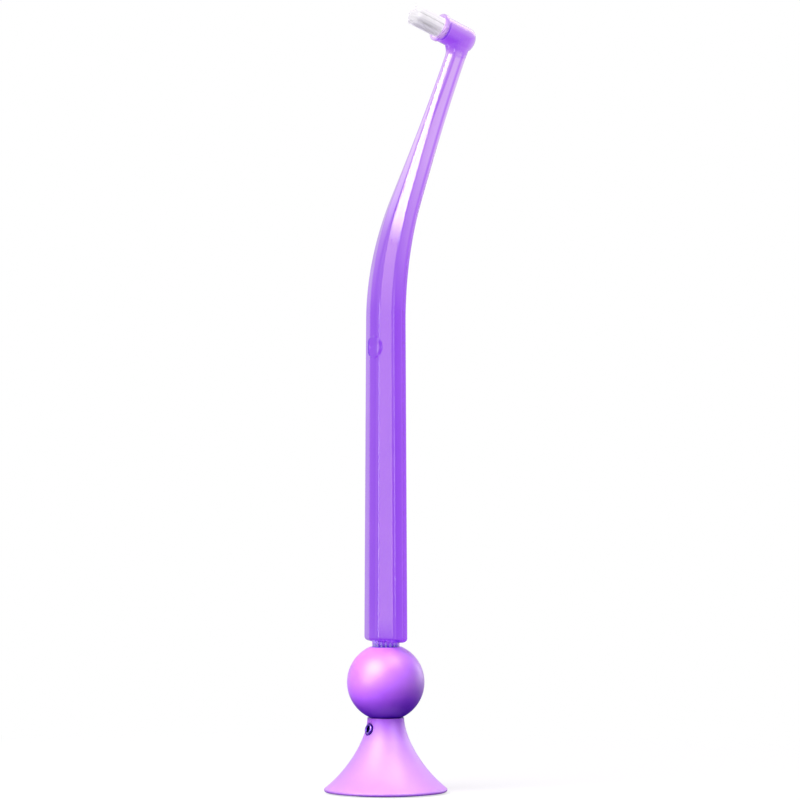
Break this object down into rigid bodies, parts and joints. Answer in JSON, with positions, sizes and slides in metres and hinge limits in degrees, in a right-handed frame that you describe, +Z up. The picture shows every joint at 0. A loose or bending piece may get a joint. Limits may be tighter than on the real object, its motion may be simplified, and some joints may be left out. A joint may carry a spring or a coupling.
{
  "type": "single-tuft orthodontic toothbrush on a stand",
  "caption": "Slim toothbrush with a bent faceted clear handle and one small round tuft, standing by a ribbed round stub in a ball on a flared weighted foot.",
  "frame": {"origin": "centre of the pad's flat underside, on the stand's axis, at the surface it stands on", "axes": "+Z up along the grip; -X the front, the way the tuft points; +X the way the neck leans back; Y across the handle's width"},
  "size_m": [0.0396, 0.0296, 0.1897],
  "materials": {
    "handle": "polished see-through purple plastic",
    "bristle_tuft": "white nylon strands",
    "stand_ball": "satin purple soft moulding",
    "socket_core": "dark violet moulded plastic",
    "stand_foot": "satin lilac soft moulding",
    "drain_eyelet": "dark violet plated metal",
    "foot_weight": "turned steel",
    "core_screw": "plain steel",
    "base_pad": "matt soft pad"
  },
  "bodies": {
    "stand": {"stand_foot": "stand_foot", "stand_ball": "stand_ball", "socket_core": "socket_core", "drain_eyelet": "drain_eyelet", "foot_weight": "foot_weight", "core_screw": "core_screw", "base_pad": "base_pad"},
    "brush": {"handle": "handle", "bristle_tuft": "bristle_tuft"}
  },
  "joints": [
    {"name": "brush_lift", "type": "slide", "parent": "stand", "child": "brush", "axis": [0, 0, 1], "range_m": [0, 0.014]}
  ]
}
